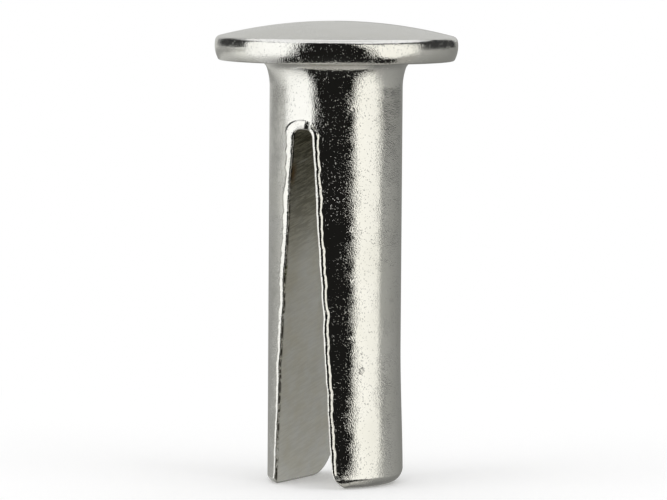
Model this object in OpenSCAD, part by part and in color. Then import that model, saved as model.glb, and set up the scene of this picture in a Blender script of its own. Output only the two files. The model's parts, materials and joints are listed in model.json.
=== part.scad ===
// Split rivet: a solid headed shank, slit from its end into two legs that spread when it is set.
// Millimetres, +Z up. The origin is on the axis, in the plane of the head's underside.
// The slot runs right through along Y, so the legs stand apart along X.

/* [Shank] */
// Diameter of the shank
shank_d = 5; // [3.5:0.1:7]
// Length of the shank, from under the head to the leg tips
shank_len = 15.9; // [12:0.1:30]
// Radius of the fillet where the shank runs into the head
neck_fillet_r = 0.56; // [0.2:0.02:0.8]

/* [Head] */
// Diameter of the head at the widest line of its rim
head_d = 9.14; // [8:0.02:12]
// Height of the head on the axis
head_h = 1.47; // [1.3:0.01:1.8]
// Radius of the shallow dome
dome_r = 17.7; // [14:0.1:24]
// Radius of the bulge round the rim
rim_bulge_r = 1.1; // [0.9:0.05:1.6]
// Height of the widest line of the rim above the underside
rim_mid_h = 0.55; // [0.4:0.01:0.6]
// Radius of the corner between the dome and the rim
rim_top_r = 0.22; // [0.1:0.01:0.3]
// Radius of the corner between the rim and the underside
rim_bottom_r = 0.18; // [0.1:0.01:0.25]

/* [Slot] */
// Solid shank left between the head and the crown of the slot
slot_start = 2.5; // [1.5:0.1:6]
// Width of the slot at its round crown
slot_crown_w = 0.84; // [0.6:0.02:1.2]
// Width of the slot at its mouth, between the leg tips
slot_mouth_w = 2.46; // [1.8:0.02:3]
// Radius of the long outward curve of each flank
slot_flank_r = 170; // [120:5:400]
// Radius of the rolled lip round the crown
lip_crown_r = 0.24; // [0.12:0.01:0.3]
// Radius of the rolled lip at the leg tips
lip_mouth_r = 0.12; // [0.08:0.01:0.2]

/* [Leg tips] */
// Radius of the round outer edge of each tip
tip_edge_r = 0.38; // [0.2:0.02:0.6]
// Radius of the large round that relieves the back corner of each tip
tip_back_r = 1.6; // [0.8:0.1:1.8]

/* [Hidden] */
$fn = 128;

shank_r = shank_d / 2;
head_r = head_d / 2;
crown_r = slot_crown_w / 2;
mouth_half = slot_mouth_w / 2;

// How far a cutting shape runs past the surface that it cuts
past = 1;
// Steps in the rolled lip: along a flank, over the crown (an even number), and round the lip
flank_steps = 10;
crown_steps = 16;
lip_steps = 6;

function unit(v) = v / norm(v);

// The point at distance r1 from c1 and r2 from c2, on the right of the line from c1 to c2
function meet(c1, r1, c2, r2) =
    let (gap = norm(c2 - c1))
    let (dir = unit(c2 - c1))
    let (along = (r1 * r1 - r2 * r2 + gap * gap) / (2 * gap))
    let (aside = sqrt(r1 * r1 - along * along))
    c1 + along * dir + aside * [dir.y, -dir.x];

// Centres of the arcs of the head
dome_c = [0, head_h - dome_r];
rim_c = [head_r - rim_bulge_r, rim_mid_h];
rim_top_c = meet(dome_c, dome_r - rim_top_r, rim_c, rim_bulge_r - rim_top_r);
rim_bottom_x = sqrt(pow(rim_bulge_r - rim_bottom_r, 2) - pow(rim_mid_h - rim_bottom_r, 2));
rim_bottom_c = [rim_c.x + rim_bottom_x, rim_bottom_r];

// Centres of the arcs of the slot's outline, in x and z; the right flank's arc is centred far to the left
crown_c = [0, -slot_start - crown_r];
mouth_p = [mouth_half, -shank_len];
flank_c = meet(crown_c, slot_flank_r - crown_r, mouth_p, slot_flank_r);
flank_top_a = atan2(crown_c.y - flank_c.y, crown_c.x - flank_c.x);
flank_mouth_a = atan2(mouth_p.y - flank_c.y, mouth_p.x - flank_c.x);

// What a round corner takes off: c is the arc's centre, from_dir and to_dir point at its two ends
module corner_waste(c, r, from_dir, to_dir) {
    reach = r + past;
    difference() {
        polygon([c, c + reach * from_dir, c + 2 * reach * unit(from_dir + to_dir), c + reach * to_dir]);
        translate(c) circle(r);
    }
}

module head_outline() {
    difference() {
        intersection() {
            translate(dome_c) circle(dome_r);
            union() {
                square([rim_c.x, head_h + past]);
                translate(rim_c) circle(rim_bulge_r);
            }
            square([head_r + past, head_h + past]);
        }
        corner_waste(rim_top_c, rim_top_r, unit(rim_top_c - dome_c), unit(rim_top_c - rim_c));
        corner_waste(rim_bottom_c, rim_bottom_r, unit(rim_bottom_c - rim_c), [0, -1]);
    }
}

module shank_outline() {
    difference() {
        translate([0, -shank_len]) square([shank_r, shank_len + head_h / 2]);
        corner_waste([shank_r - tip_edge_r, tip_edge_r - shank_len], tip_edge_r, [1, 0], [0, -1]);
    }
}

module neck_outline() {
    difference() {
        translate([0, -neck_fillet_r]) square([shank_r + neck_fillet_r, neck_fillet_r + head_h / 2]);
        translate([shank_r + neck_fillet_r, -neck_fillet_r]) circle(neck_fillet_r);
    }
}

// The rivet before it is slit
module blank() {
    rotate_extrude() {
        head_outline();
        shank_outline();
        neck_outline();
    }
}

// Stations along the edge of the slot, from the right mouth over the crown to the left mouth.
// Each is [x, z, direction into the metal in x, the same in z].
mouth_station = [mouth_half, -shank_len - past, 1, 0];
flank_stations = [
    for (i = [0 : flank_steps - 1])
        let (a = flank_mouth_a + (flank_top_a - flank_mouth_a) * i / flank_steps)
        [flank_c.x + slot_flank_r * cos(a), flank_c.y + slot_flank_r * sin(a), cos(a), sin(a)]
];
crown_stations = [
    for (i = [0 : crown_steps])
        let (a = flank_top_a + (180 - 2 * flank_top_a) * i / crown_steps)
        [crown_c.x + crown_r * cos(a), crown_c.y + crown_r * sin(a), cos(a), sin(a)]
];
right_stations = concat([mouth_station], flank_stations);
left_stations = [
    for (i = [flank_steps : -1 : 0])
        let (s = right_stations[i])
        [-s[0], s[1], -s[2], s[3]]
];
stations = concat(right_stations, crown_stations, left_stations);

// Radius of the lip at height z
function lip_r(z) = lip_mouth_r + (lip_crown_r - lip_mouth_r) * (z + shank_len) / (shank_len - slot_start);

// Depth of the shank's surface in front of the XZ plane, at x
function front(x) = sqrt(shank_r * shank_r - x * x);

// Section of the slot at station s, from outside the front, round the lip and to the wall,
// as [distance into the metal, distance in front]
function lip_section(s) =
    let (r = lip_r(s[1]))
    let (edge = [0, front(s[0])])
    let (on_shank = [r, front(s[0] + s[2] * r)])
    let (on_wall = edge - [0, r])
    let (arc = [
        for (i = [0 : lip_steps])
            let (a = 90 * i / lip_steps)
            edge + (on_shank - edge) * (1 - sin(a)) + (on_wall - edge) * (1 - cos(a))
    ])
    let (outside = 2 * arc[0] - arc[1])
    concat([[outside.x, shank_r + past], outside], [for (i = [1 : lip_steps]) arc[i]]);

// The section through to the back, which mirrors the front
function through_section(s) =
    let (half = lip_section(s))
    concat(half, [for (i = [len(half) - 1 : -1 : 0]) [half[i].x, -half[i].y]]);

// The slot with its rolled lips, as one solid to take away
module slot() {
    sections = [for (s = stations) through_section(s)];
    n = len(sections[0]);
    last = len(stations) - 1;
    points = [
        for (k = [0 : last])
            for (q = sections[k])
                let (s = stations[k])
                [s[0] + s[2] * q[0], -q[1], s[1] + s[3] * q[0]]
    ];
    walls = [
        for (k = [0 : last - 1])
            for (j = [0 : n - 2])
                let (a = k * n + j)
                let (b = a + 1)
                each [[a, b + n, b], [a, a + n, b + n]]
    ];
    // Each cap is a ladder of rungs between the right and left flanks
    caps = [
        for (k = [0 : last / 2 - 1])
            let (r = k * n)
            let (l = (last - k) * n)
            each concat(
                [[r + n, r, l], [r + n - 1, r + 2 * n - 1, l + n - 1]],
                k + 1 < last - k - 1
                    ? [[r + n, l, l - n], [r + 2 * n - 1, l - 1, l + n - 1]]
                    : []
            )
    ];
    mouth_cap = [for (j = [0 : n - 2]) let (l = last * n + j) [j, j + 1, l + 1, l]];
    polyhedron(points = points, faces = concat(walls, caps, mouth_cap), convexity = 6);
}

// What the large round takes off the back corner of both tips
module back_corner_waste() {
    back_y = front(mouth_half);
    rotate([90, 0, 90])
        linear_extrude(shank_d + past, center = true)
            corner_waste([back_y - tip_back_r, tip_back_r - shank_len], tip_back_r, [1, 0], [0, -1]);
}

module rivet() {
    color("silver")
    difference() {
        blank();
        slot();
        back_corner_waste();
    }
}

rivet();
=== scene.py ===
"""Split rivet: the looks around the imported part. Sizes are in millimetres until a mesh is made."""

import json
import math

import bmesh
import bpy
import numpy as np
from mathutils import Matrix, Vector


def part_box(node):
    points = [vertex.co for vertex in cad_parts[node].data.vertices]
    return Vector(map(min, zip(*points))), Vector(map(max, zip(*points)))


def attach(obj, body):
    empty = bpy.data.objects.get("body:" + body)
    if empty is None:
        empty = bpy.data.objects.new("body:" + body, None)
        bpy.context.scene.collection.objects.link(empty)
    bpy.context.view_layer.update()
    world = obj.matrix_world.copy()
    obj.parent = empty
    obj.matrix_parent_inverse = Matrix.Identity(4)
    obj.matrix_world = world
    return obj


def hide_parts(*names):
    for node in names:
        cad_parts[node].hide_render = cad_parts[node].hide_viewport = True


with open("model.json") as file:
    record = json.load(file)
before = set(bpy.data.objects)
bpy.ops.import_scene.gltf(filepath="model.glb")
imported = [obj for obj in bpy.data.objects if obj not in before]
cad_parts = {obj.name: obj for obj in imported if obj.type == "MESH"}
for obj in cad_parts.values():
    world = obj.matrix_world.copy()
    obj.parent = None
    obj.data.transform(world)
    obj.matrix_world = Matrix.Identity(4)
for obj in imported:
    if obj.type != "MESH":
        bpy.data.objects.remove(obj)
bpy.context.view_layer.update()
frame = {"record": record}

MM = 0.001
low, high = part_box("rivet")

# Driving dimensions. The frame gives the outer sizes. The others are the part's own, or follow the
# rivet in the photo more closely than the part's plain form does.
SHANK_LEN = -low.z / MM
HEAD_H = high.z / MM
HEAD_R = (high.x - low.x) / 2 / MM
SHANK_R = next(m for m in frame["record"]["mounts"] if m["name"] == "shank")["dims"]["r_mm"]
DOME_R = 17.7
RIM_BULGE_R = 1.1
RIM_MID_H = 0.55
RIM_TOP_R = 0.22
RIM_BOTTOM_R = 0.09

# The neck's fillet ends in a soft tail: where the tail starts and ends below the head, and how far
# it would stand out from the shank at the head
NECK_TAIL_START = 0.32
NECK_TAIL_END = 1.0
NECK_TAIL_RISE = 0.22

# The slot. A power of 2 would make its crown round, and a higher one makes it squarer.
SLOT_START = 2.5
SLOT_CROWN_R = 0.42
SLOT_CROWN_POWER = 2.8
SLOT_MOUTH_HALF = 1.25
SLOT_FLANK_R = 600.0

# How the slot of this rivet wanders: its middle leans to the right under the head
LEAN_HEIGHTS = (-15.9, -10.5, -8.0, -4.5, -2.5)
LEANS = (0.0, 0.0, 0.02, 0.05, 0.05)

# The ripple of the slot's edges, and small kinks in the front ones: height, size into the metal,
# and half length
EDGE_WAVES = (5.1, 2.3, 1.1, 0.63, 0.37)
EDGE_RIPPLE = 0.022
EDGE_SEED = 20
KINKS = {
    1: ((-9.4, 0.04, 0.35), (-12.3, 0.03, 0.3), (-8.2, 0.02, 0.35), (-6.0, -0.02, 0.5)),
    -1: (
        (-4.25, 0.03, 0.32),
        (-5.2, 0.02, 0.3),
        (-8.0, 0.05, 0.5),
        (-9.1, -0.04, 0.25),
        (-11.4, 0.05, 0.3),
    ),
}

# The lip. Its section is a chain of arcs from a crease in the shank up a ramp, over the crest, down
# a slope and round the edge into the wall. Angles are in degrees from the shank's normal towards
# the slot. A pair is the value on the flanks and the value over the crown.
LIP_CREASE_R = 0.02
LIP_RISE = (42.0, 28.0)
LIP_RAMP_WIDTH = 0.038
LIP_RAMP_TURN = 3.0
LIP_CREST_R = 0.13
LIP_CREST_END = (8.0, 3.0)
LIP_SLOPE_R = (0.10, 0.94)
LIP_SLOPE_END = (38.0, 16.0)
LIP_EDGE_R = 0.05
LIP_EDGE_END = 68.0
LIP_WALL_R = 0.010
# How the size of the whole section changes from the crown down to the mouth, and along the edge
LIP_SIZE = (1.12, 0.85)
LIP_SIZE_WAVES = (2.3, 1.1, 0.6, 0.33)
LIP_SIZE_RIPPLE = 0.28
LIP_SIZE_SEED = 70
# What is ragged: a part of the slope, which is wider on the left under the crown than at the mouth
LIP_RAGGED = 0.03
LIP_RAGGED_LEFT = (0.319, 0.033)
LIP_RAGGED_WAVES = (0.9, 0.5, 0.31)
LIP_RAGGED_RIPPLE = 0.45
LIP_RAGGED_SEED = 90
# What the left lip differs by
LEFT_CREST_R = -0.03
LEFT_EDGE_R = 0.025
LEFT_SLOPE_END = -9.0
# A notch in the left lip: its height, half length and the share of the ragged slope that it takes
NOTCH_Z = -4.25
NOTCH_LEN = 0.32
NOTCH_SHARE = 0.6
# The crown's wide bead sinks towards the right, and ends where the right lip starts: the x where
# each starts, and over what width. The sinking is in degrees off the rise.
SINK_X, SINK_WIDTH = 0.10, 0.24
SINK_TURN = 24.0
BEAD_END_X, BEAD_END_WIDTH = 0.27, 0.08

# The tips, on the right (1) and on the left (-1): the struck outer edge has a radius and a width
TIP_BEVEL_R = {1: 0.55, -1: 0.28}
TIP_BEVEL_WIDTH = {1: 0.525, -1: 0.27}
TIP_BACK_R = 1.6
WALL_EDGE_R = 0.07
# The last stretch of a leg, where its rows bend towards the shape of the end
TIP_ROWS_H = 2.2
# A loop of points this far over the end keeps its edge crisp
CREASE = 0.02
# Half the length of the line that the end's loops close in on
TIP_SPINE_HALF = 1.2
# A round is followed to this share of its radius, short of where it would stand upright
ROUND_SHARE = 0.995
CORNER_SHARE = 0.985

# What striking did to the right leg: its outside flares from this depth on, outside this radius
# and to the right of this x
FLARE_START = 10.7
FLARE = 0.12
FLARE_INNER_R = 1.6
FLARE_X = 0.5
# Its front corner is worn round, away from the slot, and the left leg's by a small share of that.
# The wear starts this far in front, and this far inside the shank's sides, over these widths.
CORNER_H = 0.85
CORNER_WIDTH = 0.5
CORNER_LEFT_SHARE = -0.12
CORNER_FRONT, CORNER_FRONT_WIDTH = 1.3, 0.8
CORNER_SIDE, CORNER_SIDE_WIDTH = 0.2, 1.0

# The mesh: the collar's ring of columns is two legs and two crown patches
LEG_COLUMNS = 48
CROWN_COLUMNS = 52
PATCH_COLUMNS = 18
PATCH_EDGE = math.radians(48)
COLLAR_Z = -1.7
COLLAR_ROWS = 12
CROWN_SIDE_ROWS = 12
LEG_ROWS = 110
LIP_STEPS = (3, 2, 5, 6, 4, 2)
DOME_STEPS = 36
RIM_TOP_STEPS = 10
RIM_BULGE_STEPS = 20
RIM_BOTTOM_STEPS = 8
UNDERSIDE_ROWS = 9
NECK_STEPS = 12
TAIL_ROWS = 15
# The rings of the struck edge crowd towards its start, and go at most this share of the way in
BEVEL_RINGS = 13
BEVEL_CROWDING = 1.5
BEVEL_REACH = 0.9
TIP_RINGS = 6
# Rounds in which the slope of the shank under the lip settles
SLOPE_ROUNDS = 8
# Points nearer than this are one point
WELD = 0.0008

PLATED, CUT = 0, 1


def unit(v):
    return v / np.linalg.norm(v)


def meet(c1, r1, c2, r2):
    """The point at distance r1 from c1 and r2 from c2, on the right of the line from c1 to c2."""
    gap = np.linalg.norm(c2 - c1)
    along = (r1 * r1 - r2 * r2 + gap * gap) / (2 * gap)
    aside = math.sqrt(r1 * r1 - along * along)
    forward = unit(c2 - c1)
    return c1 + along * forward + aside * np.array([forward[1], -forward[0]])


def angle_of(v):
    return math.atan2(v[1], v[0])


def arc(centre, radius, start, end, steps):
    a = np.linspace(start, end, steps + 1)
    return np.stack([centre[0] + radius * np.cos(a), centre[1] + radius * np.sin(a)], axis=1)


def smooth_step(t):
    t = np.clip(t, 0, 1)
    return t * t * (3 - 2 * t)


def blend(ends, share):
    """From the first value to the second, as share goes from 0 to 1."""
    return ends[0] + (ends[1] - ends[0]) * share


def wobble(t, seed, wavelengths, size):
    """A smooth random curve over t, made of a few sines, about size high."""
    rng = np.random.default_rng(seed)
    total = np.zeros_like(t)
    for wavelength in wavelengths:
        total += rng.uniform(0.5, 1.0) * np.sin(2 * math.pi * (t / wavelength + rng.random()))
    return size * total / len(wavelengths)


def head_profile():
    """Radius and height from the top of the dome to the collar's ring."""
    dome_c = np.array([0.0, HEAD_H - DOME_R])
    rim_c = np.array([HEAD_R - RIM_BULGE_R, RIM_MID_H])
    top_c = meet(dome_c, DOME_R - RIM_TOP_R, rim_c, RIM_BULGE_R - RIM_TOP_R)
    reach = math.sqrt((RIM_BULGE_R - RIM_BOTTOM_R) ** 2 - (RIM_MID_H - RIM_BOTTOM_R) ** 2)
    bottom_c = np.array([rim_c[0] + reach, RIM_BOTTOM_R])
    dome_end = angle_of(top_c - dome_c)
    bulge_top = angle_of(top_c - rim_c)
    bulge_bottom = angle_of(bottom_c - rim_c)
    left_of_tail = 1 - NECK_TAIL_START / NECK_TAIL_END
    tail_slope = math.atan(2 * NECK_TAIL_RISE * left_of_tail / NECK_TAIL_END)
    tail_z = np.linspace(-NECK_TAIL_START, -NECK_TAIL_END, TAIL_ROWS)
    tail_r = SHANK_R + NECK_TAIL_RISE * (1 + tail_z / NECK_TAIL_END) ** 2
    fillet_r = NECK_TAIL_START / (1 - math.sin(tail_slope))
    neck_c = np.array([tail_r[0] + fillet_r * math.cos(tail_slope), -fillet_r])
    underside = np.linspace(bottom_c[0], neck_c[0], UNDERSIDE_ROWS)
    wall_z = np.linspace(tail_z[-1], COLLAR_Z, COLLAR_ROWS)
    pieces = [
        arc(dome_c, DOME_R, math.pi / 2, dome_end, DOME_STEPS),
        arc(top_c, RIM_TOP_R, dome_end, bulge_top, RIM_TOP_STEPS),
        arc(rim_c, RIM_BULGE_R, bulge_top, bulge_bottom, RIM_BULGE_STEPS),
        arc(bottom_c, RIM_BOTTOM_R, bulge_bottom, -math.pi / 2, RIM_BOTTOM_STEPS),
        np.stack([underside, 0 * underside], axis=1),
        arc(neck_c, fillet_r, math.pi / 2, math.pi - tail_slope, NECK_STEPS),
        np.stack([tail_r, tail_z], axis=1),
        np.stack([np.full(COLLAR_ROWS, SHANK_R), wall_z], axis=1),
    ]
    return np.concatenate([pieces[0]] + [p[1:] for p in pieces[1:]])


def slot_stations():
    """The sharp outline of the slot, from the right mouth over the crown to the left mouth.

    Each station is x, z and the way into the metal.
    """
    crown_c = np.array([0.0, -SLOT_START - SLOT_CROWN_R])
    mouth = np.array([SLOT_MOUTH_HALF, -SHANK_LEN])
    flank_c = meet(crown_c, SLOT_FLANK_R - SLOT_CROWN_R, mouth, SLOT_FLANK_R)
    top_a = angle_of(crown_c - flank_c)
    mouth_a = angle_of(mouth - flank_c)
    flank_a = np.linspace(mouth_a, top_a, LEG_ROWS + 1)
    right = arc(flank_c, SLOT_FLANK_R, mouth_a, top_a, LEG_ROWS)
    right = np.column_stack([right, np.cos(flank_a), np.sin(flank_a)])
    crown_steps = 2 * CROWN_SIDE_ROWS + CROWN_COLUMNS
    crown_a = np.linspace(top_a, math.pi - top_a, crown_steps + 1)
    cos_a, sin_a = np.cos(crown_a), np.abs(np.sin(crown_a))
    power = 2 / SLOT_CROWN_POWER
    crown_x = SLOT_CROWN_R * np.sign(cos_a) * np.abs(cos_a) ** power
    crown_z = crown_c[1] + SLOT_CROWN_R * sin_a**power
    normal_x = np.sign(cos_a) * np.abs(cos_a) ** (2 - power)
    normal = np.stack([normal_x, sin_a ** (2 - power)], axis=1)
    normal /= np.linalg.norm(normal, axis=1, keepdims=True)
    crown = np.column_stack([crown_x, crown_z, normal])
    left = right[::-1] * np.array([-1, 1, -1, 1])
    return np.concatenate([right, crown[1:-1], left])


def wander(stations, side):
    """Moves the outline sideways as this rivet's slot does. side is -1 in front and 1 behind."""
    x, z, nx, _ = stations.T
    lean = np.interp(z, LEAN_HEIGHTS, LEANS)
    flank = np.clip(np.abs(nx), 0, 1) ** 2
    ripple = np.zeros_like(x)
    for hand, kinks in KINKS.items():
        edge = wobble(z, EDGE_SEED + 2 * side + hand, EDGE_WAVES, EDGE_RIPPLE)
        if side < 0:
            for at, size, width in kinks:
                edge += size * np.exp(-(((z - at) / width) ** 2))
        ripple += np.where(hand * x > 0, edge, 0.0)
    moved = stations.copy()
    moved[:, 0] = x + lean + nx * ripple * flank
    return moved


def lip_pieces(stations, side):
    """The chain of arcs of the lip at each station: the turns between them, and their radii.

    A turn is the angle from the shank's normal towards the slot. The lip rises from a crease,
    passes its crest, falls away to the edge, and turns into the wall.
    """
    x, z, _, nz = stations.T
    depth = np.clip((-SLOT_START - z) / (SHANK_LEN - SLOT_START), 0, 1)
    ripple = 1 + wobble(z, LIP_SIZE_SEED + side, LIP_SIZE_WAVES, LIP_SIZE_RIPPLE)
    size = blend(LIP_SIZE, depth) * ripple
    crown = smooth_step(nz) * (1 - smooth_step((x - BEAD_END_X) / BEAD_END_WIDTH))
    hand = np.where(x > 0, 0.0, 1.0 - crown)
    notch = np.exp(-(((z - NOTCH_Z) / NOTCH_LEN) ** 2)) * hand
    ragged = LIP_RAGGED + blend(LIP_RAGGED_LEFT, depth) * hand
    ragged *= 1 + wobble(z, LIP_RAGGED_SEED + side, LIP_RAGGED_WAVES, LIP_RAGGED_RIPPLE)
    sunk = smooth_step((x - SINK_X) / SINK_WIDTH) * crown
    rise = np.radians(blend(LIP_RISE, crown) - SINK_TURN * sunk)
    ramp = math.radians(LIP_RAMP_TURN)
    turns = [
        0 * x,
        -rise,
        ramp - rise,
        np.radians(blend(LIP_CREST_END, crown)),
        np.radians(blend(LIP_SLOPE_END, crown) + LEFT_SLOPE_END * hand),
        math.radians(LIP_EDGE_END) + 0 * x,
    ]
    radii = [
        -LIP_CREASE_R * size,
        LIP_RAMP_WIDTH * size / ramp,
        (LIP_CREST_R + LEFT_CREST_R * hand) * size,
        (blend(LIP_SLOPE_R, crown) + ragged * (1 - NOTCH_SHARE * notch)) * size,
        (LIP_EDGE_R + LEFT_EDGE_R * hand) * size,
        LIP_WALL_R + 0 * x,
    ]
    return turns, radii


def lip_sections(stations, side):
    """The lip's section at each station, from the shank to the wall."""
    x, z, nx, nz = stations.T
    turns, radii = lip_pieces(stations, side)
    slope = np.zeros_like(x)
    for _ in range(SLOPE_ROUNDS):
        ends = turns + [math.pi / 2 + slope]
        arcs = list(zip(radii, ends[:-1], ends[1:]))
        across = sum(r * (np.sin(b) - np.sin(a)) for r, a, b in arcs)
        raised = sum(r * (np.cos(b) - np.cos(a)) for r, a, b in arcs)
        start = across * np.cos(slope) - raised * np.sin(slope)
        start_x = x + nx * start
        depth = np.sqrt(SHANK_R**2 - start_x**2)
        slope = np.arctan(nx * start_x / depth)
    t, n = [0 * x], [0 * x]
    for (radius, a, b), steps in zip(arcs, LIP_STEPS):
        t0, n0 = t[-1], n[-1]
        for f in np.linspace(0, 1, steps + 1)[1:]:
            psi = a + f * (b - a)
            t.append(t0 + radius * (np.sin(psi) - np.sin(a)))
            n.append(n0 + radius * (np.cos(psi) - np.cos(a)))
    t, n = np.array(t).T, np.array(n).T
    cos_slope, sin_slope = np.cos(slope)[:, None], np.sin(slope)[:, None]
    inward = start[:, None] - t * cos_slope + n * sin_slope
    outward = depth[:, None] + t * sin_slope + n * cos_slope
    lip_x = x[:, None] + nx[:, None] * inward
    lip_z = z[:, None] + nz[:, None] * inward
    return np.stack([lip_x, side * outward, lip_z], axis=2)


def on_shank(theta, z):
    """A point of the shank, with theta counted from the front towards +X."""
    return np.stack([SHANK_R * np.sin(theta), -SHANK_R * np.cos(theta), z + 0 * theta], axis=-1)


def between(a, b, steps):
    """Rows of values from a to b, which are arrays of the same shape."""
    f = np.linspace(0, 1, steps + 1)
    return a[..., None] * (1 - f) + b[..., None] * f


class Skin:
    """Collects grids of points and the finish of each, and makes one mesh of them."""

    def __init__(self):
        self.points = []
        self.quads = []
        self.finish = []
        self.count = 0

    def grid(self, points, finish):
        rows, columns = points.shape[:2]
        quads = grid_quads(rows, columns) + self.count
        self.points.append(points.reshape(-1, 3))
        self.quads.append(quads)
        self.finish.append(np.full(len(quads), finish))
        self.count += rows * columns

    def mesh(self, name, move):
        points = move(np.concatenate(self.points)) * MM
        mesh = bpy.data.meshes.new(name)
        mesh.from_pydata(points.tolist(), [], np.concatenate(self.quads).tolist())
        finish = np.concatenate(self.finish).astype(np.int32)
        mesh.polygons.foreach_set("material_index", finish)
        work = bmesh.new()
        work.from_mesh(mesh)
        bmesh.ops.remove_doubles(work, verts=work.verts, dist=WELD * MM)
        bmesh.ops.recalc_face_normals(work, faces=work.faces)
        work.to_mesh(mesh)
        work.free()
        mesh.shade_smooth()
        return mesh


def grid_quads(rows, columns):
    """The faces of a grid of points, each as the indices of its four corners."""
    index = np.arange(rows * columns).reshape(rows, columns)
    corners = [index[:-1, :-1], index[:-1, 1:], index[1:, 1:], index[1:, :-1]]
    return np.stack(corners, axis=-1).reshape(-1, 4)


def add_head(skin):
    theta = collar_angles()
    radius, z = (values[:, None] + 0 * theta for values in head_profile().T)
    skin.grid(np.stack([radius * np.sin(theta), -radius * np.cos(theta), z], axis=2), PLATED)


def collar_angles():
    """The collar's columns: front crown patch, right leg, back crown patch and left leg."""
    half = math.pi - PATCH_EDGE
    front = np.linspace(-PATCH_EDGE, PATCH_EDGE, CROWN_COLUMNS + 1)
    right = np.linspace(PATCH_EDGE, half, LEG_COLUMNS + 1)
    back = np.linspace(half, half + 2 * PATCH_EDGE, CROWN_COLUMNS + 1)
    left = np.linspace(half + 2 * PATCH_EDGE, 2 * math.pi - PATCH_EDGE, LEG_COLUMNS + 1)
    return np.concatenate([front, right[1:], back[1:], left[1:]])


def crown_stations():
    """The stations of the crown, with a few of the flanks on either side of it."""
    return slice(LEG_ROWS, LEG_ROWS + 2 * CROWN_SIDE_ROWS + CROWN_COLUMNS + 1)


def add_crown_patch(skin, lip, side):
    """The shank round the slot's crown, from the lip out to the collar and the legs."""
    inner = lip[crown_stations(), 0]
    inner_theta = np.arctan2(inner[:, 0], np.abs(inner[:, 1]))
    crown_z = -SLOT_START - SLOT_CROWN_R
    rise = np.linspace(crown_z, COLLAR_Z, CROWN_SIDE_ROWS + 1)
    across = np.linspace(PATCH_EDGE, -PATCH_EDGE, CROWN_COLUMNS + 1)
    flank = np.full(CROWN_SIDE_ROWS, PATCH_EDGE)
    outer_theta = np.concatenate([flank, across, -flank])
    outer_z = np.concatenate([rise[:-1], np.full(CROWN_COLUMNS + 1, COLLAR_Z), rise[-2::-1]])
    theta = between(inner_theta, outer_theta, PATCH_COLUMNS)
    z = between(inner[:, 2], outer_z, PATCH_COLUMNS)
    points = on_shank(theta, z)
    points[..., 1] *= -side
    skin.grid(points, PLATED)


def add_leg_top(skin, hand):
    """The outside of a leg between the collar's ring and the middle of the crown."""
    z = np.linspace(COLLAR_Z, -SLOT_START - SLOT_CROWN_R, CROWN_SIDE_ROWS + 1)
    theta = hand * np.linspace(PATCH_EDGE, math.pi - PATCH_EDGE, LEG_COLUMNS + 1)
    theta, z = np.meshgrid(theta, z)
    skin.grid(on_shank(theta, z), PLATED)


def leg_rows(lip_front, lip_back, hand):
    """Loops of points round a leg, from the crown down to the tip.

    Each runs round the outside, the back lip, the wall and the front lip.
    """
    rows = slice(LEG_ROWS, None, -1) if hand > 0 else slice(-LEG_ROWS - 1, None)
    front, back = lip_front[rows], lip_back[rows]
    z = np.linspace(-SLOT_START - SLOT_CROWN_R, -SHANK_LEN, LEG_ROWS + 1)
    edge = np.full(LEG_ROWS + 1, PATCH_EDGE)
    front_theta = np.arctan2(np.abs(front[:, 0, 0]), -front[:, 0, 1])
    back_theta = np.arctan2(np.abs(back[:, 0, 0]), -back[:, 0, 1])
    theta = np.concatenate(
        [
            between(front_theta, edge, PATCH_COLUMNS),
            between(edge, math.pi - edge, LEG_COLUMNS)[:, 1:],
            between(math.pi - edge, back_theta, PATCH_COLUMNS)[:, 1:],
        ],
        axis=1,
    )
    height = np.concatenate(
        [
            between(front[:, 0, 2], z, PATCH_COLUMNS),
            between(z, z, LEG_COLUMNS)[:, 1:],
            between(z, back[:, 0, 2], PATCH_COLUMNS)[:, 1:],
        ],
        axis=1,
    )
    outside = on_shank(hand * theta, height)
    wall = wall_points(front, back)
    return np.concatenate([outside, back[:, 1:], wall[:, -2::-1], front[:, -2:0:-1]], axis=1)


def wall_points(front, back):
    """The slot's face between the two lips."""
    count = LEG_COLUMNS + 2 * PATCH_COLUMNS
    a, b = front[:, -1], back[:, -1]
    f = np.linspace(0, 1, count + 1)[None, :, None]
    return a[:, None] * (1 - f) + b[:, None] * f


def round_off(radius, over):
    """How far a round of this radius has fallen away, over past its start."""
    return radius - np.sqrt(radius**2 - over**2)


def tip_height(x, y, wall, hand):
    """How high the end of a leg lies over its lowest plane.

    It rises at the struck outer edge, at the wall's edge and at the back corner. wall is y and x at
    the two ends of the wall.
    """
    wall_x = np.minimum(np.abs(x), np.interp(y, *wall))
    width = TIP_BEVEL_WIDTH[hand]
    outer_in = np.clip(SHANK_R - np.hypot(x, y), 0, width)
    wall_in = np.clip(np.abs(x) - wall_x, 0, WALL_EDGE_R)
    back_y = math.sqrt(SHANK_R**2 - SLOT_MOUTH_HALF**2)
    back_over = np.clip(y - (back_y - TIP_BACK_R), 0, TIP_BACK_R * ROUND_SHARE)
    return (
        round_off(TIP_BEVEL_R[hand], width - outer_in)
        + round_off(WALL_EDGE_R, WALL_EDGE_R - wall_in)
        + round_off(TIP_BACK_R, back_over)
    )


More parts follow.
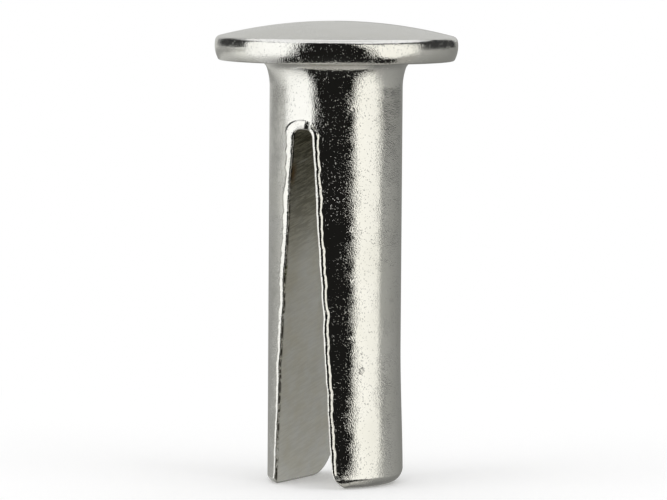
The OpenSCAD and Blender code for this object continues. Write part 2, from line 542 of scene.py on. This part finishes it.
def add_leg(skin, lip_front, lip_back, hand):
    loops = leg_rows(lip_front, lip_back, hand)
    last = loops[-1]
    outside_count = LEG_COLUMNS + 2 * PATCH_COLUMNS + 1
    lip_count = lip_back.shape[1] - 1
    wall_from = outside_count + lip_count - 1
    wall_to = wall_from + outside_count
    wall_ends = last[[wall_to - 1, wall_from]]
    wall = (wall_ends[:, 1], np.abs(wall_ends[:, 0]))
    end = -SHANK_LEN + tip_height(last[:, 0], last[:, 1], wall, hand)
    top = -SHANK_LEN + TIP_ROWS_H
    share = np.clip((top - loops[..., 2]) / TIP_ROWS_H, 0, 1)
    loops[..., 2] = np.where(share > 0, top + share * (end - top), loops[..., 2])
    crease = np.column_stack([last[:, :2], end + CREASE])
    loops = np.insert(loops, -1, crease, axis=0)
    closed = np.concatenate([loops, loops[:, :1]], axis=1)
    skin.grid(closed[:, : wall_from + 1], PLATED)
    skin.grid(closed[:, wall_from:wall_to], CUT)
    skin.grid(closed[:, wall_to - 1 :], PLATED)
    add_tip(skin, closed[-1], wall, hand, outside_count, lip_count)


def add_tip(skin, loop, wall, hand, outside_count, lip_count):
    """The end of a leg: loops that close in on a line along its middle."""
    along = np.linspace(0, 1, outside_count)
    share = np.concatenate([along, np.ones(lip_count), along[-2::-1], np.zeros(lip_count)])
    spine_x = hand * (np.mean(wall[1]) + SHANK_R) / 2
    spine_y = TIP_SPINE_HALF * (2 * share - 1)
    target = np.stack([np.full(len(loop), spine_x), spine_y], axis=1)
    away = target - loop[:, :2]
    length = np.linalg.norm(away, axis=1, keepdims=True)
    insets = TIP_BEVEL_WIDTH[hand] * np.linspace(0, 1, BEVEL_RINGS) ** BEVEL_CROWDING
    rings = [loop[:, :2] + away * np.minimum(inset / length, BEVEL_REACH) for inset in insets]
    inner = rings[-1]
    for f in np.linspace(0, 1, TIP_RINGS + 1)[1:]:
        rings.append(inner + (target - inner) * f)
    rings = np.array(rings)
    z = -SHANK_LEN + tip_height(rings[..., 0], rings[..., 1], wall, hand)
    z[0] = loop[:, 2]
    skin.grid(np.concatenate([rings, z[..., None]], axis=2), PLATED)


def add_crown_wall(skin, lip_front, lip_back):
    front, back = lip_front[crown_stations()], lip_back[crown_stations()]
    skin.grid(front, PLATED)
    skin.grid(back, PLATED)
    skin.grid(wall_points(front, back), CUT)


def upset(points):
    """The struck tips: the right leg's outside flares, and its front corner is worn round."""
    x, y, z = points.T
    radius = np.maximum(np.hypot(x, y), 0.1)  # kept from 0 for the division below
    down = smooth_step((-z - FLARE_START) / (SHANK_LEN - FLARE_START))
    outside = smooth_step((radius - FLARE_INNER_R) / (SHANK_R - FLARE_INNER_R))
    swell = 1 + FLARE * down * outside * smooth_step(x / FLARE_X) / radius
    low_down = np.clip((-z - (SHANK_LEN - CORNER_H)) / CORNER_H, 0, CORNER_SHARE)
    corner = CORNER_WIDTH * (1 - np.sqrt(1 - low_down**2))
    near_front = smooth_step((-y - CORNER_FRONT) / CORNER_FRONT_WIDTH)
    near_wall = smooth_step((SHANK_R - CORNER_SIDE - np.abs(x)) / CORNER_SIDE_WIDTH)
    share = np.where(x > 0, 1.0, CORNER_LEFT_SHARE)
    moved = points.copy()
    moved[:, 0] = x * swell + share * corner * near_front * near_wall
    moved[:, 1] = y * swell
    return moved


def make_rivet():
    stations = slot_stations()
    lip_front = lip_sections(wander(stations, -1), -1)
    lip_back = lip_sections(wander(stations, 1), 1)
    skin = Skin()
    add_head(skin)
    for lip, side in ((lip_front, -1), (lip_back, 1)):
        add_crown_patch(skin, lip, side)
    add_crown_wall(skin, lip_front, lip_back)
    for hand in (1, -1):
        add_leg_top(skin, hand)
        add_leg(skin, lip_front, lip_back, hand)
    mesh = skin.mesh("plated_rivet", upset)
    piece = bpy.data.objects.new("plated_rivet", mesh)
    bpy.context.scene.collection.objects.link(piece)
    return piece


# Materials. Colours are linear, and places and sizes are in millimetres.

NICKEL_WARM = (0.75, 0.745, 0.715, 1)
NICKEL_PALE = (0.80, 0.795, 0.775, 1)
NICKEL_ROUGHNESS = (0.05, 0.10)
NICKEL_BUMP = 0.014

# Pits in the plating: where they are, and their radii
PITS = (
    ((1.78, -1.76, -1.70), 0.14),
    ((1.75, -1.79, -6.20), 0.12),
    ((1.78, -1.76, -8.05), 0.14),
    ((1.80, -1.74, -10.30), 0.13),
    ((2.05, -1.43, -11.45), 0.15),
)
PIT_DEPTH = 1.6
PIT_UNEVEN = 0.28

FACE_WARM = (0.90, 0.88, 0.81, 1)
FACE_PALE = (0.96, 0.96, 0.94, 1)
CROWN_SHADE_DARK = (0.26, 0.25, 0.17, 1)
CROWN_SHADE_LIGHT = (0.70, 0.68, 0.57, 1)
MARK_DARK = (0.20, 0.18, 0.13, 1)
RUST = (0.30, 0.18, 0.06, 1)
GRIME = (0.16, 0.17, 0.06, 1)
SCRATCH = (0.95, 0.94, 0.88, 1)
EDGE_SHADE = (0.035, 0.032, 0.02, 1)
FACE_ROUGHNESS = (0.34, 0.48)
FACE_BUMP = 0.03
# The heights between which the slot's face turns from its own tint to a painted shade, darker
# towards the crown in the narrow top of the slot; the tool marks deepen over them too
CROWN_SHADE_START, CROWN_SHADE_FULL = -7.6, -2.8
# The tool marks slant by this, and are drawn out along the slot's face by these
MARK_SLANT = math.radians(-13)
MARK_STRETCH = (1.0, 1.1, 12.0)
# The painted shade along the wall's edge, under the lip, starts and is full at these radii
EDGE_SHADE_R = (2.33, 2.42)


class Nodes:
    """A short way to build a node tree."""

    def __init__(self, tree):
        self.tree = tree
        tree.nodes.clear()

    def add(self, kind, inputs=(), **settings):
        node = self.tree.nodes.new(kind)
        for name, value in settings.items():
            setattr(node, name, value)
        for name, value in dict(inputs).items():
            socket = node.inputs[name]
            if isinstance(value, bpy.types.NodeSocket):
                self.tree.links.new(value, socket)
            else:
                socket.default_value = value
        return node

    def math(self, operation, a, b=0.0, clamp=False):
        node = self.add("ShaderNodeMath", {0: a, 1: b}, operation=operation, use_clamp=clamp)
        return node.outputs[0]

    def vector(self, operation, a, b):
        return self.add("ShaderNodeVectorMath", {0: a, 1: b}, operation=operation).outputs[0]

    def length(self, vector):
        node = self.add("ShaderNodeVectorMath", {0: vector}, operation="LENGTH")
        return node.outputs["Value"]

    def noise(self, vector, scale, detail=2.0, roughness=0.5):
        node = self.add(
            "ShaderNodeTexNoise",
            {"Vector": vector, "Scale": scale, "Detail": detail, "Roughness": roughness},
        )
        return node.outputs["Fac"]

    def remap(self, value, from_min, from_max, to_min=0.0, to_max=1.0):
        limits = {"From Min": from_min, "From Max": from_max, "To Min": to_min, "To Max": to_max}
        return self.add("ShaderNodeMapRange", {"Value": value, **limits}).outputs[0]

    def mix(self, factor, a, b):
        # A colour mix has its factor and its two colours at these places
        return self.add("ShaderNodeMix", {0: factor, 6: a, 7: b}, data_type="RGBA").outputs[2]


def material(name):
    made = bpy.data.materials.new(name)
    made.use_nodes = True
    return made, Nodes(made.node_tree)


def millimetres(nodes):
    place = nodes.add("ShaderNodeTexCoord").outputs["Object"]
    return nodes.vector("MULTIPLY", place, (1 / MM, 1 / MM, 1 / MM))


def from_axis(nodes, place):
    """The distance from the rivet's axis."""
    return nodes.length(nodes.vector("MULTIPLY", place, (1, 1, 0)))


def spot(nodes, place, centre, sizes, lean=0.0):
    """1 inside an ellipsoid and 0 outside it, with a soft rim. lean is in degrees about X."""
    turn = (math.radians(lean), 0, 0)
    inside = nodes.add(
        "ShaderNodeMapping",
        {"Vector": place, "Location": centre, "Rotation": turn, "Scale": sizes},
        vector_type="TEXTURE",
    )
    return nodes.remap(nodes.length(inside.outputs[0]), 1.0, 0.3)


def metal(nodes, tint, rough, height, bump_distance):
    bump = nodes.add(
        "ShaderNodeBump", {"Height": height, "Strength": 1.0, "Distance": bump_distance * MM}
    )
    shader = nodes.add(
        "ShaderNodeBsdfPrincipled",
        {"Base Color": tint, "Metallic": 1.0, "Roughness": rough, "Normal": bump.outputs[0]},
    )
    nodes.add("ShaderNodeOutputMaterial", {"Surface": shader.outputs[0]})


def plated_nickel():
    """Bright nickel over a tumbled blank: orange peel, specks, pits and a faint cloudy tint."""
    made, nodes = material("plated_nickel")
    place = millimetres(nodes)
    grain = nodes.noise(place, scale=22.0, detail=1.0)
    peel = nodes.noise(place, scale=3.5)
    patches = nodes.remap(nodes.noise(place, scale=1.1), 0.38, 0.62, to_min=0.25, to_max=0.68)
    specks = nodes.remap(nodes.noise(place, scale=16.0, detail=1.0), 0.66, 0.75)
    height = nodes.math("ADD", grain, nodes.math("MULTIPLY", specks, 0.7))
    height = nodes.math("MULTIPLY", height, patches)
    height = nodes.math("ADD", height, nodes.math("MULTIPLY", peel, 0.22))
    drift = nodes.add("ShaderNodeTexNoise", {"Vector": place, "Scale": 5.0, "Detail": 1.0})
    drift = nodes.vector("SUBTRACT", drift.outputs["Color"], (0.5, 0.5, 0.5))
    drift = nodes.vector("MULTIPLY", drift, (PIT_UNEVEN, PIT_UNEVEN, PIT_UNEVEN))
    uneven = nodes.vector("ADD", place, drift)
    for centre, size in PITS:
        rim = nodes.math("PINGPONG", spot(nodes, uneven, centre, (size, size, size)), 0.5)
        height = nodes.math("ADD", height, nodes.math("MULTIPLY", rim, PIT_DEPTH))
    cloud = nodes.noise(place, scale=0.55, detail=3.0, roughness=0.6)
    tint = nodes.mix(nodes.remap(cloud, 0.35, 0.65), NICKEL_WARM, NICKEL_PALE)
    smears = nodes.noise(place, scale=1.7, detail=4.0, roughness=0.6)
    rough = nodes.remap(smears, 0.3, 0.7, *NICKEL_ROUGHNESS)
    metal(nodes, tint, rough, height, NICKEL_BUMP)
    return made


def slit_face():
    """The bare metal of the slot: slanting tool marks, a painted shade towards the crown, rust,
    grime, and a painted shade along the wall's edge.
    """
    made, nodes = material("slit_face")
    place = millimetres(nodes)
    turned = nodes.add(
        "ShaderNodeMapping",
        {"Vector": place, "Rotation": (MARK_SLANT, 0, 0)},
        vector_type="POINT",
    )
    drawn_out = nodes.vector("MULTIPLY", turned.outputs[0], MARK_STRETCH)
    marks = nodes.noise(drawn_out, scale=1.0, detail=5.0, roughness=0.72)
    z = nodes.add("ShaderNodeSeparateXYZ", {"Vector": place}).outputs["Z"]
    # Painted shade: the face darkens towards the crown, in the narrow top of the slot under the head
    crown_shade_and_marks = nodes.remap(z, CROWN_SHADE_START, CROWN_SHADE_FULL)
    mark_depth = nodes.remap(crown_shade_and_marks, 0.0, 0.7, to_min=0.22, to_max=1.0)
    cloud = nodes.noise(place, scale=0.9, detail=4.0, roughness=0.6)
    face_tint = nodes.mix(nodes.remap(cloud, 0.35, 0.65), FACE_WARM, FACE_PALE)
    crown_shaded_tint = nodes.mix(nodes.remap(marks, 0.42, 0.60), CROWN_SHADE_DARK, CROWN_SHADE_LIGHT)
    tint = nodes.mix(nodes.math("POWER", crown_shade_and_marks, 1.2), face_tint, crown_shaded_tint)
    streak = nodes.math("MULTIPLY", nodes.remap(marks, 0.55, 0.45), mark_depth)
    tint = nodes.mix(nodes.math("MULTIPLY", streak, 0.45), tint, MARK_DARK)
    rust = spot(nodes, place, (-0.5, -2.32, -4.15), (0.6, 0.36, 0.58))
    tint = nodes.mix(nodes.math("MULTIPLY", rust, 0.9), tint, RUST)
    grime = spot(nodes, place, (-0.8, -2.25, -7.8), (0.6, 0.14, 0.55))
    grime = nodes.math("MULTIPLY", grime, nodes.remap(marks, 0.40, 0.55))
    tint = nodes.mix(grime, tint, GRIME)
    scratch = spot(nodes, place, (-0.45, -1.60, -3.71), (0.6, 0.50, 0.06), lean=13)
    tint = nodes.mix(scratch, tint, SCRATCH)
    # Painted shade: a dark, patchy line along the wall's edge where it meets the lip
    edge_shade_patches = nodes.remap(nodes.noise(place, scale=4.0, detail=3.0, roughness=0.7), 0.40, 0.52)
    edge_shade = nodes.math("MULTIPLY", nodes.remap(from_axis(nodes, place), *EDGE_SHADE_R), edge_shade_patches)
    tint = nodes.mix(edge_shade, tint, EDGE_SHADE)
    rough = nodes.remap(marks, 0.3, 0.7, *FACE_ROUGHNESS)
    metal(nodes, tint, rough, nodes.math("MULTIPLY", marks, mark_depth), FACE_BUMP)
    return made


# Camera: where the photograph was taken from

PHOTO_W = 667
FOCAL_PX = 4100.0
CAMERA_AZIMUTH = math.radians(31.0)
CAMERA_ELEVATION = math.radians(4.977)
CAMERA_ROLL = math.radians(0.393)
CAMERA_DISTANCE = 154.5
CAMERA_CLIP = 5.0
AIM_ASIDE = -0.058
AIM_HEIGHT = -7.154
SENSOR_W = 36.0


def make_camera():
    sin_az, cos_az = math.sin(CAMERA_AZIMUTH), math.cos(CAMERA_AZIMUTH)
    right = Vector((cos_az, sin_az, 0))
    ahead = -direction(CAMERA_AZIMUTH, CAMERA_ELEVATION)
    up = right.cross(ahead)
    turned_right = right * math.cos(CAMERA_ROLL) + up * math.sin(CAMERA_ROLL)
    turned_up = up * math.cos(CAMERA_ROLL) - right * math.sin(CAMERA_ROLL)
    aim = right * AIM_ASIDE + Vector((0, 0, AIM_HEIGHT))
    data = bpy.data.cameras.new("camera")
    data.sensor_width = SENSOR_W
    data.lens = FOCAL_PX / PHOTO_W * SENSOR_W
    data.clip_start = CAMERA_CLIP * MM
    camera = bpy.data.objects.new("camera", data)
    axes = Matrix((turned_right, turned_up, -ahead)).transposed().to_4x4()
    camera.matrix_world = Matrix.Translation((aim - ahead * CAMERA_DISTANCE) * MM) @ axes
    bpy.context.scene.collection.objects.link(camera)
    bpy.context.scene.camera = camera


# Stage: a pale floor in a white room, two lamps, and cards of light and dark for the reflections

AMBIENT = 0.85
FLOOR_SIZE = 900.0
FLOOR_GREY = (0.92, 0.92, 0.92, 1)
FLOOR_LIFT = 0.12
# The floor turns into the white backdrop between these distances from the axis
FLOOR_NEAR = (7.0, 30.0)
LAMP_AZIMUTHS = {"lamp_left": -65, "lamp_right": 60}
LAMP_ELEVATION = 35
LAMP_DISTANCE = 300.0
LAMP_SIZE = 200.0
LAMP_POWER = 0.12
CARD_DISTANCE = 600.0
CARD_CENTRE_Z = -7.0
CARD_ROWS = 61
CARD_COLUMNS = 33
CREAM = (1.0, 0.985, 0.91)
WARM = (1.0, 0.98, 0.90)
OFF_WHITE = (1, 1, 0.97)


def direction(azimuth, elevation):
    """The unit vector at an azimuth from -Y towards +X, and an elevation."""
    flat = math.cos(elevation)
    return Vector((flat * math.sin(azimuth), -flat * math.cos(azimuth), math.sin(elevation)))


def card(name, lefts, rights, elevations, levels, greys=(1, 1), tint=(1, 1, 1), nearer=0):
    """Part of a sphere round the rivet that only reflections see.

    lefts, rights and levels are its two edges, in degrees from the camera's side, and its light at
    the elevations, and greys the light from its left to its right. A nearer card hides what is
    behind it.
    """
    up = np.linspace(elevations[0], elevations[-1], CARD_ROWS)
    across = np.linspace(0, 1, CARD_COLUMNS)
    knots = len(elevations)
    left, right, level = (
        np.interp(up, elevations, np.broadcast_to(values, knots))[:, None]
        for values in (lefts, rights, levels)
    )
    azimuth = CAMERA_AZIMUTH + np.radians(left * (1 - across) + right * across)
    elevation = np.radians(up)[:, None] + 0 * azimuth
    flat = np.cos(elevation)
    towards = np.stack(
        [flat * np.sin(azimuth), -flat * np.cos(azimuth), np.sin(elevation)], axis=2
    )
    points = (CARD_DISTANCE - nearer) * towards + (0, 0, CARD_CENTRE_Z)
    mesh = bpy.data.meshes.new(name)
    quads = grid_quads(CARD_ROWS, CARD_COLUMNS)
    mesh.from_pydata((points.reshape(-1, 3) * MM).tolist(), [], quads.tolist())
    grey = np.interp(across, np.linspace(0, 1, len(greys)), greys)
    colours = np.ones((CARD_ROWS, CARD_COLUMNS, 4))
    colours[..., :3] = (level * grey)[..., None] * tint
    glow = mesh.color_attributes.new("glow", "FLOAT_COLOR", "POINT")
    glow.data.foreach_set("color", colours.ravel())
    made, nodes = material(name)
    shown = nodes.add("ShaderNodeVertexColor", layer_name="glow")
    emission = nodes.add("ShaderNodeEmission", {"Color": shown.outputs["Color"]})
    nodes.add("ShaderNodeOutputMaterial", {"Surface": emission.outputs[0]})
    made.cycles.emission_sampling = "NONE"
    mesh.materials.append(made)
    shell = bpy.data.objects.new(name, mesh)
    shell.visible_camera = False
    shell.visible_diffuse = False
    shell.visible_shadow = False
    shell.visible_transmission = False
    bpy.context.scene.collection.objects.link(shell)


def make_cards():
    card(
        "card_camera",
        lefts=(-72, -66, -60, -52, -47, -42, -40, -39, -37, -37),
        rights=(70, 70, 68, 45, 37, 34, 35, 27, 17, 17),
        elevations=(-53, -45, -34, -28, -20, -13, -4, 5, 20, 50),
        levels=(0.03, 0.02, 0.015, 0.012, 0.012, 0.012, 0.012, 0.012, 0.012, 0.03),
        tint=CREAM,
        nearer=4,
    )
    card(
        "softbox_left",
        lefts=-96,
        rights=-30,
        elevations=(-40, -28, -18, 35),
        levels=(0.45, 0.8, 1.25, 1.25),
        greys=(0.95, 1, 1),
        tint=OFF_WHITE,
    )
    card(
        "softbox_right",
        lefts=(45, 38, 30, 10, 10, 10),
        rights=(56, 62, 71, 78, 84, 84),
        elevations=(-33, -30, -23, -15, -7, 21),
        levels=(0.8, 1.0, 1.2, 1.2, 1.2, 1.2),
        greys=(1.0, 1.0, 0.97, 0.90),
        tint=CREAM,
        nearer=2,
    )
    card("brow_left", -102, -30, (35, 50), (0.15, 0.15), greys=(0.3, 1.7))
    card("brow_right", 10, 100, (21, 50), (0.05, 0.08))
    card("under_left", -88, -30, (-53, -40), (0.25, 0.45))
    card("under_right", 10, 88, (-53, -5), (0.42, 0.42), tint=WARM)
    card("dark_left", -152, -96, (-1, 35), (0.05, 0.04), nearer=2)
    card("dark_right", 84, 152, (-1.5, 40), (0.05, 0.04), nearer=2)
    card(
        "wall_left",
        lefts=-180,
        rights=-96,
        elevations=(-62, -40, -30, -20, -12, -9, -5, -3.6, -2.6, 3),
        levels=(0.6, 0.65, 0.8, 1.15, 1.4, 0.85, 0.8, 0.98, 1.45, 1.5),
        greys=(0.42, 0.40, 0.45, 0.78),
        tint=(1, 1, 0.95),
    )
    card(
        "wall_right",
        lefts=84,
        rights=180,
        elevations=(-62, -30, -10, -5, -2, 3),
        levels=(0.6, 0.85, 1.05, 1.05, 1.1, 1.2),
        greys=(0.44, 0.34, 0.25, 0.26),
        tint=(1, 1, 0.94),
    )
    card("ground_near", -96, 84, (-62, -53), (0.62, 0.62), tint=WARM)
    card("ground", -180, 180, (-90, -62), (0.45, 0.45), greys=(0.7, 0.85, 1, 1, 0.7), tint=WARM)
    card("back", 152, 208, (-2, 36), (0.60, 0.63), tint=OFF_WHITE)
    card("back_brow", -180, 180, (36, 41), (0.35, 0.35))
    card("ceiling", -180, 180, (41, 60, 75, 90), (1.1, 1.1, 0.85, 0.85))


def make_world():
    world = bpy.data.worlds.new("room")
    bpy.context.scene.world = world
    world.use_nodes = True
    nodes = Nodes(world.node_tree)
    seen = seen_directly(nodes)
    strength = nodes.remap(seen, 0.0, 1.0, AMBIENT, 1.0)
    light = nodes.add("ShaderNodeBackground", {"Color": (1, 1, 1, 1), "Strength": strength})
    nodes.add("ShaderNodeOutputWorld", {"Surface": light.outputs[0]})
    world.cycles.sampling_method = "NONE"


def seen_directly(nodes):
    """1 for what the camera, a reflection or a refraction shows, and 0 for what only lights."""
    path = nodes.add("ShaderNodeLightPath")
    camera, glossy, through = (
        path.outputs[kind] for kind in ("Is Camera Ray", "Is Glossy Ray", "Is Transmission Ray")
    )
    return nodes.math("ADD", nodes.math("ADD", camera, glossy, clamp=True), through, clamp=True)


def make_floor():
    """A pale floor that keeps the contact shadow and turns into the white backdrop further out."""
    size = FLOOR_SIZE * MM
    corners = [(x * size, y * size, low.z) for x, y in ((-1, -1), (1, -1), (1, 1), (-1, 1))]
    mesh = bpy.data.meshes.new("floor")
    mesh.from_pydata(corners, [], [(0, 1, 2, 3)])
    made, nodes = material("floor")
    far = nodes.remap(from_axis(nodes, millimetres(nodes)), *FLOOR_NEAR)
    seen = seen_directly(nodes)
    lit = nodes.add("ShaderNodeBsdfDiffuse", {"Color": FLOOR_GREY})
    lift = nodes.add(
        "ShaderNodeEmission", {"Strength": nodes.math("MULTIPLY", seen, FLOOR_LIFT)}
    )
    near = nodes.add("ShaderNodeAddShader", {0: lit.outputs[0], 1: lift.outputs[0]})
    white = nodes.add("ShaderNodeEmission", {"Strength": 1.0})
    both = nodes.add(
        "ShaderNodeMixShader",
        {0: nodes.math("MULTIPLY", far, seen), 1: near.outputs[0], 2: white.outputs[0]},
    )
    nodes.add("ShaderNodeOutputMaterial", {"Surface": both.outputs[0]})
    made.cycles.emission_sampling = "NONE"
    mesh.materials.append(made)
    floor = bpy.data.objects.new("floor", mesh)
    floor.visible_glossy = False
    bpy.context.scene.collection.objects.link(floor)


def make_lamps():
    """Softboxes for the floor and its shadow. The azimuths are from the camera's."""
    for name, azimuth in LAMP_AZIMUTHS.items():
        away = direction(CAMERA_AZIMUTH + math.radians(azimuth), math.radians(LAMP_ELEVATION))
        data = bpy.data.lights.new(name, "AREA")
        data.size = LAMP_SIZE * MM
        data.energy = LAMP_POWER
        lamp = bpy.data.objects.new(name, data)
        lamp.location = (Vector((0, 0, AIM_HEIGHT)) + away * LAMP_DISTANCE) * MM
        lamp.rotation_euler = away.to_track_quat("Z", "Y").to_euler()
        lamp.visible_glossy = False
        bpy.context.scene.collection.objects.link(lamp)


def main():
    rivet = make_rivet()
    rivet.data.materials.append(plated_nickel())
    rivet.data.materials.append(slit_face())
    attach(rivet, "root")
    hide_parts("rivet")
    make_camera()
    make_world()
    make_cards()
    make_floor()
    make_lamps()
    bpy.context.scene.view_settings.view_transform = "Standard"


main()
